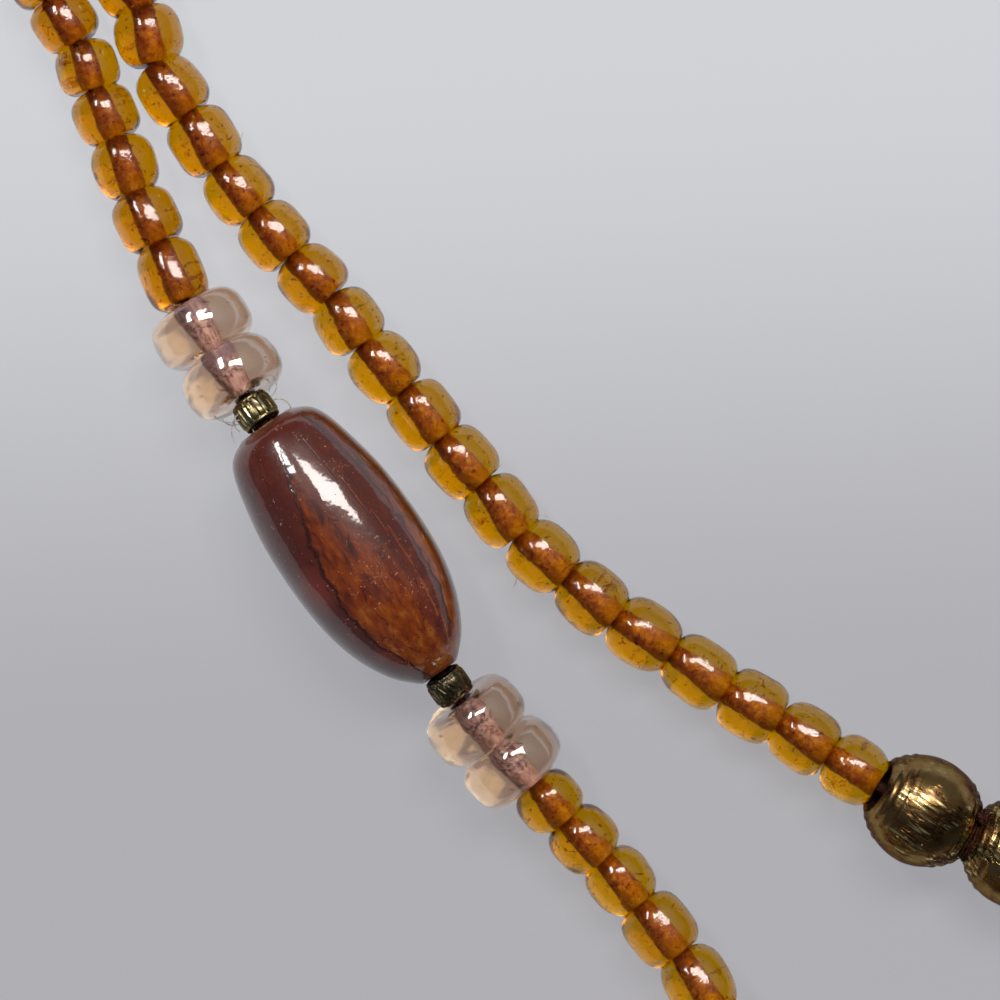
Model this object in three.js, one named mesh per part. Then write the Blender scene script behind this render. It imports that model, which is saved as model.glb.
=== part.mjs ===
// Beaded necklace: a closed loop of amber glass beads, laid flat, with a glazed barrel bead between
// brass spacers and glass rondelles, and two pairs of brass beads. Millimetres, +Z up.
import * as THREE from 'three';

// Amber glass beads, threaded end to end
const amberRadius = 2.65;
const amberLength = 4.6;
const amberEndRadius = 1.45;
const shortRunBeads = 5;

// Glazed barrel bead
const barrelRadius = 5.6;
const barrelLength = 23;

// Pale glass rondelles
const rondelleRadius = 4;
const rondelleThickness = 4;

// Fluted brass spacers
const spacerRadius = 1.6;
const spacerLength = 2;
const spacerFlutes = 10;
const spacerFluteDepth = 0.2;

// Round brass beads
const brassRadius = 4.3;
const brassLength = 8;
const brassMouthRadius = 1.7;
const brassMouthDepth = 0.9;

// Thread, its clearance in a bore, and the space between neighbours on the thread
const threadRadius = 0.5;
const boreClearance = 0.3;
const beadGap = 0.3;

// How far a lying string takes to come down from a bigger bead to its own rest height
const settleLength = 14;
// The thread's climb from rondelle height to barrel height, as shares at a rondelle's outer and inner ends
const climbBetweenRondelles = 0.25;
const climbAtSpacer = 0.75;

// Sides of each round piece
const amberSides = 10;
const beadSides = 14;
const threadSides = 8;
const boreSides = 8;

// Route of the thread in plan, x to the right and y away, once round the loop
const routePoints = [
  [-35.5, 40.3], [-31.9, 33.0], [-28.8, 25.6], [-25.5, 17.8], [-20.9, 10.0],
  [-16.4, 3.7], [-11.2, -3.7], [-6.0, -11.1], [-1.9, -16.8], [3.6, -23.0],
  [9.2, -29.2], [14.9, -36.7], [19.8, -43.6], [24.3, -50.6], [30.5, -61.5],
  [39.5, -77.0], [51.0, -94.0], [66.0, -109.0], [85.0, -119.0], [106.0, -122.0],
  [127.0, -119.0], [147.0, -109.0], [162.0, -93.0], [168.5, -74.0], [164.0, -54.0],
  [150.0, -38.0], [130.0, -28.5], [109.0, -25.0], [88.0, -26.0], [70.0, -29.0],
  [56.0, -30.5], [47.3, -29.5], [39.8, -27.2], [32.3, -23.9], [23.3, -18.4],
  [15.3, -13.2], [6.9, -7.4], [0.1, -0.8], [-5.8, 6.4], [-11.8, 13.6],
  [-17.6, 20.3], [-22.6, 27.6], [-26.6, 35.7], [-29.8, 42.6], [-32.2, 50.0],
  [-33.6, 57.6], [-38.2, 63.6], [-45.4, 63.6], [-48.2, 57.4], [-44.6, 50.4],
  [-40.0, 46.0],
];
const barrelPoint = 6;
const frontBrassPoint = 33;
const closestPoint = 42;

// Half sections along each bead, as shares of its length and of its radius
const amberShape = [
  { along: 0.17, radius: 0.89 },
  { along: 0.5, radius: 1 },
  { along: 0.83, radius: 0.89 },
];
const barrelShape = [
  { along: 0, radius: 0.42 },
  { along: 0.03, radius: 0.63 },
  { along: 0.08, radius: 0.76 },
  { along: 0.17, radius: 0.86 },
  { along: 0.3, radius: 0.96 },
  { along: 0.42, radius: 1 },
  { along: 0.57, radius: 1 },
  { along: 0.7, radius: 0.945 },
  { along: 0.82, radius: 0.81 },
  { along: 0.92, radius: 0.6 },
  { along: 0.98, radius: 0.38 },
  { along: 1, radius: 0.28 },
];
const rondelleShape = [
  { along: 0, radius: 0.55 },
  { along: 0.08, radius: 0.77 },
  { along: 0.22, radius: 0.93 },
  { along: 0.4, radius: 1 },
  { along: 0.6, radius: 1 },
  { along: 0.78, radius: 0.93 },
  { along: 0.92, radius: 0.77 },
  { along: 1, radius: 0.55 },
];
const brassShape = [
  { along: 0, radius: 0.5 },
  { along: 0.05, radius: 0.57 },
  { along: 0.16, radius: 0.75 },
  { along: 0.32, radius: 0.94 },
  { along: 0.45, radius: 1 },
  { along: 0.55, radius: 1 },
  { along: 0.68, radius: 0.94 },
  { along: 0.84, radius: 0.75 },
  { along: 0.95, radius: 0.57 },
  { along: 1, radius: 0.5 },
];

const amberGlass = new THREE.MeshStandardMaterial({ color: 0xb4770f, roughness: 0.1, metalness: 0 });
const lustreGlaze = new THREE.MeshStandardMaterial({ color: 0x5c2c1a, roughness: 0.15, metalness: 0.3 });
const paleGlass = new THREE.MeshStandardMaterial({ color: 0xc0a899, roughness: 0.12, metalness: 0 });
const antiqueBrass = new THREE.MeshStandardMaterial({ color: 0x6e5c34, roughness: 0.4, metalness: 1 });
const brownThread = new THREE.MeshStandardMaterial({ color: 0x5a3322, roughness: 0.9, metalness: 0 });

const boreRadius = threadRadius + boreClearance;
const up = new THREE.Vector3(0, 0, 1);

// The thread's plan as one closed smooth curve, measured along its length
const route = new THREE.CatmullRomCurve3(
  routePoints.map(([x, y]) => new THREE.Vector3(x, y, 0)), true, 'catmullrom', 0.5);
const stepsPerPoint = 40;
route.arcLengthDivisions = routePoints.length * stepsPerPoint;
const routeLength = route.getLength();

function distanceToPoint(index) {
  return route.getLengths()[index * stepsPerPoint];
}

function planPoint(distance) {
  const share = distance / routeLength;
  return route.getPointAt(share - Math.floor(share));
}

// Flats of a turned piece lie on its true radius, so its corners stand a little outside it
function cornerRadius(radius, sides) {
  return radius / Math.cos(Math.PI / sides);
}

// A profile of [radius, along] pairs turned about Y, with a flat facing up and one facing down
function turned(profile, sides) {
  const points = profile.map(([radius, along]) => new THREE.Vector2(cornerRadius(radius, sides), along));
  return new THREE.LatheGeometry(points, sides, Math.PI / sides);
}

function sectionPoints(shape, length, radius) {
  return shape.map((section) => [section.radius * radius, section.along * length]);
}

// Carries a string turned straight along Y onto its route: placeAt gives the centre for each distance
function bentAlong(geometry, placeAt, directionAt) {
  const position = geometry.attributes.position;
  for (let i = 0; i < position.count; i += 1) {
    const along = position.getY(i);
    const forward = directionAt(along);
    const side = new THREE.Vector3().crossVectors(forward, up).normalize();
    const lift = new THREE.Vector3().crossVectors(side, forward);
    const point = placeAt(along)
      .addScaledVector(side, position.getX(i))
      .addScaledVector(lift, position.getZ(i));
    position.setXYZ(i, point.x, point.y, point.z);
  }
  geometry.computeVertexNormals();
  return geometry;
}

// Bored beads, each turned about Y from its near face at 0 to its far face at its length

function boredBead(shape, length, radius) {
  const outside = sectionPoints(shape, length, radius);
  const bore = [[boreRadius, length], [boreRadius, 0]];
  return turned([...outside, ...bore, outside[0]], beadSides);
}

function barrelGeometry() {
  return boredBead(barrelShape, barrelLength, barrelRadius);
}

function rondelleGeometry() {
  return boredBead(rondelleShape, rondelleThickness, rondelleRadius);
}

// The brass bead's bore opens into a wide mouth at both ends
function brassGeometry() {
  const outside = sectionPoints(brassShape, brassLength, brassRadius);
  const inside = [
    [brassMouthRadius, brassLength],
    [brassMouthRadius, brassLength - brassMouthDepth],
    [boreRadius, brassLength - brassMouthDepth],
    [boreRadius, brassMouthDepth],
    [brassMouthRadius, brassMouthDepth],
    [brassMouthRadius, 0],
  ];
  return turned([...outside, ...inside, outside[0]], beadSides);
}

function ring(radius, sides) {
  const points = [];
  for (let i = 0; i < sides; i += 1) {
    const angle = (2 * Math.PI * (i + 0.5)) / sides;
    points.push(new THREE.Vector2(radius * Math.cos(angle), radius * Math.sin(angle)));
  }
  return points;
}

// The spacer's fluted outline, extruded and stood along Y, with its edges eased
function spacerGeometry() {
  const edge = spacerFluteDepth;
  const steps = spacerFlutes * 2;
  const outline = ring(spacerRadius - edge, steps);
  outline.forEach((point, i) => point.multiplyScalar(i % 2 ? 1 : 1 - spacerFluteDepth / spacerRadius));
  const shape = new THREE.Shape(outline);
  shape.holes.push(new THREE.Path(ring(cornerRadius(boreRadius, boreSides) + edge, boreSides)));
  const geometry = new THREE.ExtrudeGeometry(shape, {
    depth: spacerLength - 2 * edge, bevelEnabled: true, bevelThickness: edge, bevelSize: edge,
    bevelSegments: 1, steps: 1,
  });
  geometry.translate(0, 0, edge);
  geometry.rotateX(-Math.PI / 2);
  return geometry;
}

const kinds = {
  barrel: { length: barrelLength, make: barrelGeometry, material: lustreGlaze },
  rondelle: { length: rondelleThickness, make: rondelleGeometry, material: paleGlass },
  spacer: { length: spacerLength, make: spacerGeometry, material: antiqueBrass },
  brass: { length: brassLength, make: brassGeometry, material: antiqueBrass },
};

const climb = (share) => rondelleRadius + share * (barrelRadius - rondelleRadius);

// Bored beads in their order on the thread, with the thread's height where each one ends
const stationStart = rondelleRadius;
const stationBeads = [
  { name: 'rondelle_1', kind: kinds.rondelle, endHeight: climb(climbBetweenRondelles) },
  { name: 'rondelle_2', kind: kinds.rondelle, endHeight: climb(climbAtSpacer) },
  { name: 'spacer_1', kind: kinds.spacer, endHeight: barrelRadius },
  { name: 'barrel_bead', kind: kinds.barrel, endHeight: barrelRadius },
  { name: 'spacer_2', kind: kinds.spacer, endHeight: climb(climbAtSpacer) },
  { name: 'rondelle_3', kind: kinds.rondelle, endHeight: climb(climbBetweenRondelles) },
  { name: 'rondelle_4', kind: kinds.rondelle, endHeight: rondelleRadius },
];
const brassPair = (first, second) => [
  { name: first, kind: kinds.brass, endHeight: brassRadius },
  { name: second, kind: kinds.brass, endHeight: brassRadius },
];

const spaceFor = (bead) => bead.kind.length + beadGap;
const lengthOf = (beads) => beads.reduce((sum, bead) => sum + spaceFor(bead), 0);

// The joints of a group are the points midway between its beads, where the thread can bend
function jointsOf(beads, startDistance, startHeight) {
  let distance = startDistance;
  const joints = [planPoint(distance).setZ(startHeight)];
  for (const bead of beads) {
    distance += spaceFor(bead);
    joints.push(planPoint(distance).setZ(bead.endHeight));
  }
  return joints;
}

function makeGroup(threadName, beads, startDistance, startHeight) {
  const joints = jointsOf(beads, startDistance, startHeight);
  return { threadName, beads, joints, start: startDistance, end: startDistance + lengthOf(beads) };
}

// Each bored bead lies on the straight line between the joints at its two ends
function placeBeads(group, into) {
  group.beads.forEach((bead, i) => {
    const from = group.joints[i];
    const to = group.joints[i + 1];
    const forward = to.clone().sub(from).normalize();
    const side = new THREE.Vector3().crossVectors(forward, up).normalize();
    const lift = new THREE.Vector3().crossVectors(side, forward);
    const mesh = new THREE.Mesh(bead.kind.make(), bead.kind.material);
    mesh.name = bead.name;
    mesh.quaternion.setFromRotationMatrix(new THREE.Matrix4().makeBasis(side, forward, lift));
    mesh.position.copy(from).add(to).multiplyScalar(0.5).addScaledVector(forward, -bead.kind.length / 2);
    into.add(mesh);
  });
}

// The thread runs straight from joint to joint, and ends a gap short of the strings at both ends
function placeThread(group, into) {
  const knots = group.joints;
  const distances = [0];
  for (let i = 1; i < knots.length; i += 1) {
    distances.push(distances[i - 1] + knots[i].distanceTo(knots[i - 1]));
  }
  const last = knots.length - 1;
  const ease = beadGap / 2;
  const marks = distances.map((d, i) => (i === 0 ? d + ease : i === last ? d - ease : d));
  const profile = [[0, marks[0]], ...marks.map((d) => [threadRadius, d]), [0, marks[last]]];
  const spanOf = (along) => Math.max(1, distances.findIndex((d) => d >= along));
  const placeAt = (along) => {
    const i = spanOf(along);
    const share = (along - distances[i - 1]) / (distances[i] - distances[i - 1]);
    return knots[i - 1].clone().lerp(knots[i], share);
  };
  const spanDirection = (i) => knots[i].clone().sub(knots[i - 1]).normalize();
  const directionAt = (along) => {
    const i = spanOf(along);
    const atKnot = i < last && Math.abs(distances[i] - along) < ease / 2;
    return atKnot ? spanDirection(i).add(spanDirection(i + 1)).normalize() : spanDirection(i);
  };
  const mesh = new THREE.Mesh(bentAlong(turned(profile, threadSides), placeAt, directionAt), brownThread);
  mesh.name = group.threadName;
  into.add(mesh);
}

// Eases from 1 at a bigger bead down to 0 where the string lies on its own
function settled(distance) {
  return Math.max(0, 1 - distance / settleLength) ** 2;
}

// A string of amber beads, turned as one straight body with a waist at each joint, then bent along
function placeString(name, start, end, startHeight, endHeight, into) {
  const count = Math.max(1, Math.round((end - start) / amberLength));
  const pitch = (end - start) / count;
  const profile = [[0, 0], [amberEndRadius, 0]];
  for (let i = 0; i < count; i += 1) {
    const bead = sectionPoints(amberShape, pitch, amberRadius).map(([r, along]) => [r, along + i * pitch]);
    profile.push(...bead, [amberEndRadius, (i + 1) * pitch]);
  }
  profile.push([0, end - start]);
  const heightAt = (along) => amberRadius
    + (startHeight - amberRadius) * settled(along)
    + (endHeight - amberRadius) * settled(end - start - along);
  const placeAt = (along) => planPoint(start + along).setZ(heightAt(along));
  const reach = amberLength / 20;
  const directionAt = (along) => placeAt(along + reach).sub(placeAt(along - reach)).normalize();
  const mesh = new THREE.Mesh(bentAlong(turned(profile, amberSides), placeAt, directionAt), amberGlass);
  mesh.name = name;
  into.add(mesh);
}

// The three groups of bored beads, from the barrel's middle and the first front brass bead's middle
const barrelIndex = stationBeads.findIndex((bead) => bead.kind === kinds.barrel);
const toBarrel = lengthOf(stationBeads.slice(0, barrelIndex)) + spaceFor(stationBeads[barrelIndex]) / 2;
const station = makeGroup('thread_station', stationBeads,
  distanceToPoint(barrelPoint) - toBarrel, stationStart);
const backBrass = makeGroup('thread_brass_back', brassPair('brass_bead_3', 'brass_bead_4'),
  station.end + shortRunBeads * amberLength, brassRadius);
const frontPair = brassPair('brass_bead_2', 'brass_bead_1');
const frontBrass = makeGroup('thread_brass_front', frontPair,
  distanceToPoint(frontBrassPoint) + spaceFor(frontPair[1]) / 2 - lengthOf(frontPair), brassRadius);

const necklace = new THREE.Group();
for (const group of [station, backBrass, frontBrass]) {
  placeBeads(group, necklace);
  placeThread(group, necklace);
}

// Each string ends half a gap short of its neighbours; the top and front ones meet where the two
// strands are closest
const ease = beadGap / 2;
const split = distanceToPoint(closestPoint);
const topEnd = routeLength + station.start;
placeString('amber_string_short', station.end + ease, backBrass.start - ease,
  stationStart, brassRadius, necklace);
placeString('amber_string_back', backBrass.end + ease, frontBrass.start - ease,
  brassRadius, brassRadius, necklace);
placeString('amber_string_front', frontBrass.end + ease, split - ease,
  brassRadius, amberRadius, necklace);
placeString('amber_string_top', split + ease, topEnd - ease,
  amberRadius, stationStart, necklace);

// The loop is centred in plan and lies on z = 0
const box = new THREE.Box3().setFromObject(necklace, true);
const middle = box.getCenter(new THREE.Vector3());
necklace.position.set(-middle.x, -middle.y, -box.min.z);
necklace.updateMatrixWorld(true);

export default necklace;
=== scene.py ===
import math
import random
from functools import partial

import bpy
import numpy as np
from mathutils import Matrix, Vector


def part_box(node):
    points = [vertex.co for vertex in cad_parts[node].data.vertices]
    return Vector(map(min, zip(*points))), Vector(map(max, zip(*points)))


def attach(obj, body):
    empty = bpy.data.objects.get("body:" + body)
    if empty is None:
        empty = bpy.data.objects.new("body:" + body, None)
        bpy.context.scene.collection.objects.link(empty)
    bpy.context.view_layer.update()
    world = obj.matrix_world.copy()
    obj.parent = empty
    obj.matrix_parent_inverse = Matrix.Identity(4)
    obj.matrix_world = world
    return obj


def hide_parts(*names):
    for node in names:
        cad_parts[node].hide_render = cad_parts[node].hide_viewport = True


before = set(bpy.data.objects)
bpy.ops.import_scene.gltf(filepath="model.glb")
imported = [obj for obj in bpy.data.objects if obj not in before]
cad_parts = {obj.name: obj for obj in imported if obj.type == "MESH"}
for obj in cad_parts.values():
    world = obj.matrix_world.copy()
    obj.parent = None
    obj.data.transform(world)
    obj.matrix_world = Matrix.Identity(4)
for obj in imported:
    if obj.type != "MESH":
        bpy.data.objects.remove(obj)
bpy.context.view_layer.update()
random.seed(41)
mm = 0.001
up = Vector((0, 0, 1))
print("frame loaded with", len(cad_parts), "nodes")


def toLinear(hexColour):
    channels = [int(hexColour[i:i + 2], 16) / 255 for i in (1, 3, 5)]
    return [c / 12.92 if c <= 0.04045 else ((c + 0.055) / 1.055) ** 2.4 for c in channels] + [1.0]


def pick(*objects):
    bpy.ops.object.select_all(action="DESELECT")
    for obj in objects:
        obj.select_set(True)
    bpy.context.view_layer.objects.active = objects[0]


def joined(*parts):
    pick(*parts)
    bpy.ops.object.join()
    return bpy.context.active_object


# A lone link feeds the first input, and a node given as a link's source stands for its first output
def addNode(tree, kind, settings=None, links=None):
    node = tree.nodes.new("ShaderNode" + kind)
    if kind == "Mix":
        node.data_type = "RGBA"
    for name, value in (settings or {}).items():
        if isinstance(value, str) and value.startswith("#"):
            value = toLinear(value)
        if name == "stops":    # a colour ramp's [place, hex colour] pairs
            while len(node.color_ramp.elements) < len(value):
                node.color_ramp.elements.new(1)
            for element, (place, colour) in zip(node.color_ramp.elements, value):
                element.position = place
                element.color = toLinear(colour)
        elif isinstance(name, int) or name in node.inputs:
            node.inputs[name].default_value = value
        else:
            setattr(node, name, value)
    if links and not isinstance(links, dict):
        links = {0: links}
    for name, source in (links or {}).items():
        if isinstance(source, bpy.types.Node):
            source = next(socket for socket in source.outputs if socket.enabled)
        tree.links.new(source, node.inputs[name])
    return node


# Gives a new material, what adds its nodes, and the place that its patterns read
def newMaterial(name):
    material = bpy.data.materials.new(name)
    material.use_nodes = True
    material.node_tree.nodes.clear()
    add = partial(addNode, material.node_tree)
    return material, add, add("TexCoord").outputs["Object"]


# The thread's route in plan, mm from the picture's middle, x right and y up, once round the loop
route = {
    "points": [
        (-35.5, 40.3), (-31.9, 33.0), (-28.8, 25.6), (-25.5, 17.8), (-20.9, 10.0),
        (-16.4, 3.7), (-11.2, -3.7), (-6.0, -11.1), (-1.9, -16.8), (3.6, -23.0),
        (9.2, -29.2), (14.9, -36.7), (19.8, -43.6), (24.3, -50.6), (30.5, -61.5),
        (39.5, -77.0), (51.0, -94.0), (66.0, -109.0), (85.0, -119.0), (106.0, -122.0),
        (127.0, -119.0), (147.0, -109.0), (162.0, -93.0), (168.5, -74.0), (164.0, -54.0),
        (150.0, -38.0), (130.0, -28.5), (109.0, -25.0), (88.0, -26.0), (70.0, -29.0),
        (56.0, -30.5), (47.3, -29.5), (39.8, -27.2), (32.3, -23.9), (23.3, -18.4),
        (15.3, -13.2), (6.9, -7.4), (0.1, -0.8), (-5.8, 6.4), (-11.8, 13.6),
        (-17.6, 20.3), (-22.6, 27.6), (-26.6, 35.7), (-29.8, 42.6), (-32.2, 50.0),
        (-33.6, 57.6), (-38.2, 63.6), (-45.4, 63.6), (-48.2, 57.4), (-44.6, 50.4),
        (-40.0, 46.0),
    ],
    "stepsPerPoint": 40,
    "barrelPoint": 6,
    "frontBrassPoint": 33,
    "gap": 0.3,
    "settleLength": 14,    # a string comes down from a raised joint within this
    "shortRunBeads": 5,
}
radii = {"amber": 2.65, "barrel": 5.6, "rondelle": 4.0, "spacer": 1.6, "brass": 4.3}
lengths = {"amber": 4.6, "barrel": 23.0, "rondelle": 4.0, "spacer": 2.0, "brass": 8.0}


# The point at a share of the way from b to c, on a smooth line through a, b, c and d
def onCurve(a, b, c, d, share):
    bend = 2 * a - 5 * b + 4 * c - d + share * (3 * (b - c) + d - a)
    return b + 0.5 * share * (c - a + share * bend)


def samplePlan():
    points = [np.array(p) for p in route["points"]]
    steps = route["stepsPerPoint"]
    samples = []
    for i in range(len(points)):
        a, b, c, d = (points[(i + k) % len(points)] for k in (-1, 0, 1, 2))
        for step in range(steps):
            samples.append(onCurve(a, b, c, d, step / steps))
    samples = np.array(samples + [samples[0]])
    gaps = np.linalg.norm(np.diff(samples, axis=0), axis=1)
    return samples, np.concatenate([[0], np.cumsum(gaps)])


planSamples, planLengths = samplePlan()
routeLength = planLengths[-1]


def planPoint(distance, height):
    along = distance % routeLength
    x, y = (np.interp(along, planLengths, planSamples[:, k]) for k in (0, 1))
    return Vector((x, y, height))


def distanceNear(x, y):
    return planLengths[np.argmin(np.hypot(planSamples[:, 0] - x, planSamples[:, 1] - y))]


def climb(share):
    return radii["rondelle"] + share * (radii["barrel"] - radii["rondelle"])


# Bored beads in their order on the thread, with the thread's height where each one ends
stationBeads = [
    ("rondelle_1", "rondelle", climb(0.25)),
    ("rondelle_2", "rondelle", climb(0.75)),
    ("spacer_1", "spacer", climb(1)),
    ("barrel_bead", "barrel", climb(1)),
    ("spacer_2", "spacer", climb(0.75)),
    ("rondelle_3", "rondelle", climb(0.25)),
    ("rondelle_4", "rondelle", climb(0)),
]
backBrass = [("brass_bead_3", "brass", radii["brass"]), ("brass_bead_4", "brass", radii["brass"])]
frontBrass = [("brass_bead_2", "brass", radii["brass"]), ("brass_bead_1", "brass", radii["brass"])]


def spaceFor(kind):
    return lengths[kind] + route["gap"]


def lengthOf(beads):
    return sum(spaceFor(kind) for name, kind, height in beads)


placeOf = {}    # each bored bead's middle, and the way it points


def jointsOf(beads, start, startHeight):
    distance = start
    ends = [planPoint(distance, startHeight)]
    for name, kind, height in beads:
        distance += spaceFor(kind)
        ends.append(planPoint(distance, height))
        near, far = ends[-2:]
        placeOf[name] = ((near + far) / 2, far - near)
    return ends


toBarrel = lengthOf(stationBeads[:3]) + spaceFor("barrel") / 2
stationStart = planLengths[route["barrelPoint"] * route["stepsPerPoint"]] - toBarrel
stationEnd = stationStart + lengthOf(stationBeads)
backStart = stationEnd + route["shortRunBeads"] * lengths["amber"]
backEnd = backStart + lengthOf(backBrass)
frontEnd = planLengths[route["frontBrassPoint"] * route["stepsPerPoint"]] + spaceFor("brass") / 2
frontStart = frontEnd - lengthOf(frontBrass)

joints = {
    "station": jointsOf(stationBeads, stationStart, radii["rondelle"]),
    "back": jointsOf(backBrass, backStart, radii["brass"]),
    "front": jointsOf(frontBrass, frontStart, radii["brass"]),
}

# The CAD model is centred on its own box: one bead there gives the shift
lowest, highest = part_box("rondelle_1")
shift = (lowest + highest) / 2 / mm - (joints["station"][0] + joints["station"][1]) / 2
print("plan shifted by", [round(c, 3) for c in shift])


def toFrame(point):
    return (Vector(point) + shift) * mm


# Turns a body drawn along Z so that Z points forward, its Y as near up as it can
def facing(middle, forward, roll=0.0):
    z = Vector(forward).normalized()
    x = up.cross(z).normalized()
    turn = Matrix((x, z.cross(x), z)).transposed().to_4x4()
    return Matrix.Translation(toFrame(middle)) @ turn @ Matrix.Rotation(roll, 4, "Z")


# A bored body of [radius, along] rings in mm: each ring is extruded from the last one and scaled, and the
# last is bridged back to the first, which makes the hole's wall
def turnedBody(name, rings, steps):
    radius, along = rings[0]
    bpy.ops.object.select_all(action="DESELECT")
    bpy.ops.mesh.primitive_circle_add(vertices=steps, radius=radius * mm)
    obj = bpy.context.active_object
    obj.name = obj.data.name = name
    bpy.ops.object.mode_set(mode="EDIT")
    bpy.ops.mesh.select_mode(type="EDGE")
    bpy.ops.mesh.select_all(action="SELECT")
    bpy.ops.transform.translate(value=(0, 0, along * mm))
    for nextRadius, nextAlong in rings[1:]:
        bpy.ops.mesh.extrude_edges_move(TRANSFORM_OT_translate={"value": (0, 0, (nextAlong - along) * mm)})
        share = nextRadius / radius
        bpy.ops.transform.resize(value=(share, share, 1), center_override=(0, 0, nextAlong * mm))
        radius, along = nextRadius, nextAlong
    bpy.ops.mesh.select_all(action="DESELECT")
    bpy.ops.mesh.select_non_manifold(extend=False)
    bpy.ops.mesh.bridge_edge_loops()
    bpy.ops.mesh.select_all(action="SELECT")
    bpy.ops.mesh.normals_make_consistent(inside=False)
    bpy.ops.object.mode_set(mode="OBJECT")
    bpy.ops.object.shade_smooth()
    return obj


def useMaterials(obj, *materials):
    obj.data.materials.clear()
    for material in materials:
        obj.data.materials.append(material)


# Faces inside a radius get the second material
def lineHole(obj, radius):
    for face in obj.data.polygons:
        if all(math.hypot(*obj.data.vertices[i].co[:2]) < radius * mm for i in face.vertices):
            face.material_index = 1


# Presses a piece's skin in and out by a soft cloud pattern, in mm
def makeUneven(obj, height, size):
    clouds = bpy.data.textures.new("clouds", "CLOUDS")
    clouds.noise_scale = size * mm
    pick(obj)
    modifier = obj.modifiers.new("uneven", "DISPLACE")
    modifier.texture = clouds
    modifier.texture_coords = "GLOBAL"
    modifier.strength = height * mm
    modifier.mid_level = 0.62    # a little more goes in than out
    bpy.ops.object.modifier_apply(modifier=modifier.name)


def finishPiece(obj, slot, *nodes):
    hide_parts(*nodes)
    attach(obj, "root")
    print(obj.name, len(obj.data.polygons), "faces")


# A smooth line through a few [a, b] pairs
def smoothed(points, stepsBetween):
    inner = [np.array(p) for p in points]
    padded = [2 * inner[0] - inner[1], *inner, 2 * inner[-1] - inner[-2]]
    line = []
    for a, b, c, d in zip(padded, padded[1:], padded[2:], padded[3:]):
        for step in range(stepsBetween):
            line.append(onCurve(a, b, c, d, step / stepsBetween))
    return line + [points[-1]]


# Camera straight above the picture's middle, 13 px to the mm
camera = {"lens": 150, "sensor": 36, "frameWidth": 1000 / 13}


def makeCamera():
    data = bpy.data.cameras.new("camera")
    data.lens = camera["lens"]
    data.sensor_width = camera["sensor"]
    data.clip_start = 0.01
    obj = bpy.data.objects.new("camera", data)
    away = camera["frameWidth"] * camera["lens"] / camera["sensor"]
    obj.location = toFrame((0, 0, radii["amber"] + away))
    bpy.context.scene.collection.objects.link(obj)
    bpy.context.scene.camera = obj


makeCamera()

# Soft lamps and grey panels: direction from the necklace, size in metres, brightness against white
lampDistance = 0.9
lamps = {
    "wideWindow": {"direction": (0.15, 0.46, 0.87), "size": (0.49, 0.24), "radiance": 15.5,
                   "colour": "#fff8f2", "spin": 31},
    "narrowWindow": {"direction": (-0.435, 0.45, 0.78), "size": (0.12, 0.38), "radiance": 22,
                     "colour": "#fbf8f4", "spin": -25},
    "softSky": {"direction": (0.42, 0.50, 0.76), "size": (0.9, 0.9), "radiance": 6.0, "colour": "#dcf0e6"},
    "rightPanel": {"direction": (0.62, 0.62, 0.48), "size": (1.3, 0.9), "radiance": 0.13,
                   "colour": "#f6ead2"},
    "leftPanel": {"direction": (-0.60, -0.60, 0.53), "size": (1.3, 0.95), "radiance": 0.045,
                  "colour": "#f2eaf0"},
    "ceiling": {"direction": (0.02, 0.02, 1.0), "size": (0.7, 0.7), "radiance": 0.11, "colour": "#f4f1ee"},
}


def makeLamps():
    target = toFrame((0, 0, 0))
    for name, lamp in lamps.items():
        data = bpy.data.lights.new(name, "AREA")
        data.shape = "RECTANGLE"
        data.size, data.size_y = lamp["size"]
        data.energy = lamp["radiance"] * math.pi * data.size * data.size_y
        data.color = toLinear(lamp["colour"])[:3]
        obj = bpy.data.objects.new(name, data)
        direction = Vector(lamp["direction"]).normalized()
        obj.location = target + direction * lampDistance
        spin = Matrix.Rotation(math.radians(lamp.get("spin", 0)), 3, "Z")
        obj.rotation_euler = (direction.to_track_quat("Z", "Y").to_matrix() @ spin).to_euler()
        obj.visible_camera = False
        obj.visible_transmission = name == "softSky"    # it alone shines through the glass
        obj.visible_diffuse = obj.visible_glossy = name != "softSky"
        bpy.context.scene.collection.objects.link(obj)


makeLamps()

world = {"colour": "#b9bec8", "strength": 0.085}


def makeWorld():
    made = bpy.data.worlds.new("studio")
    made.use_nodes = True
    background = made.node_tree.nodes["Background"]
    background.inputs["Color"].default_value = toLinear(world["colour"])
    background.inputs["Strength"].default_value = world["strength"]
    bpy.context.scene.world = made
    bpy.context.scene.view_settings.view_transform = "Standard"


makeWorld()

# Pale paper with a painted glow of its own, in place of a light table: the glow keeps the beads' shadows
# faint
floor = {
    "size": 4.0,
    "paper": "#58595c",
    "glowDim": "#a7a7ac",       # towards the bottom
    "glowBright": "#cdcfd4",    # towards the top and right
    "glow": 0.878,
}


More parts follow.
